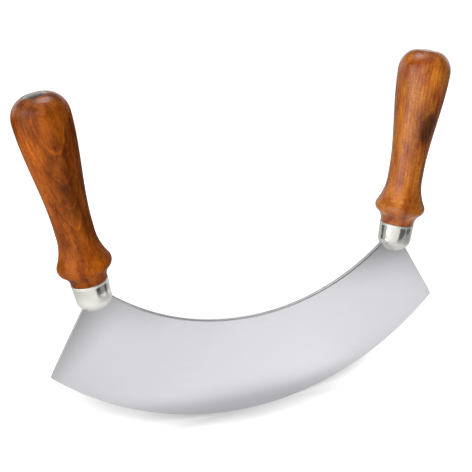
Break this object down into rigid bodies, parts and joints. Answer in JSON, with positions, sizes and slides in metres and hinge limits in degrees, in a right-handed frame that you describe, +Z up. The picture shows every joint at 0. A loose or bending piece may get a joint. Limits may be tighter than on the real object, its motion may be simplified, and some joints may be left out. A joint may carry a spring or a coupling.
{
  "type": "mezzaluna",
  "caption": "Two-handled rocking knife: a crescent steel blade, slotted metal ferrules and turned wooden handles clamped by peened tangs.",
  "frame": {"origin": "lowest point of the curved cutting edge, under the middle of the object", "axes": "+X along the blade from left handle to right handle, +Y through its thickness away from the front face, +Z up from the cutting edge to the handles"},
  "size_m": [0.2396, 0.0284, 0.1916],
  "materials": {
    "blade_steel": "satin stainless with a soft grind at the edge",
    "ferrule_nickel": "polished nickel plate",
    "handle_wood": "stained and varnished beech",
    "washer_steel": "polished steel",
    "tang_steel": "plain steel rod, peened at the top"
  },
  "bodies": {
    "root": {"blade": "blade_steel", "left_ferrule": "ferrule_nickel", "right_ferrule": "ferrule_nickel", "left_handle": "handle_wood", "right_handle": "handle_wood", "left_rivet_washer": "washer_steel", "right_rivet_washer": "washer_steel", "left_tang": "tang_steel", "right_tang": "tang_steel"}
  },
  "joints": []
}
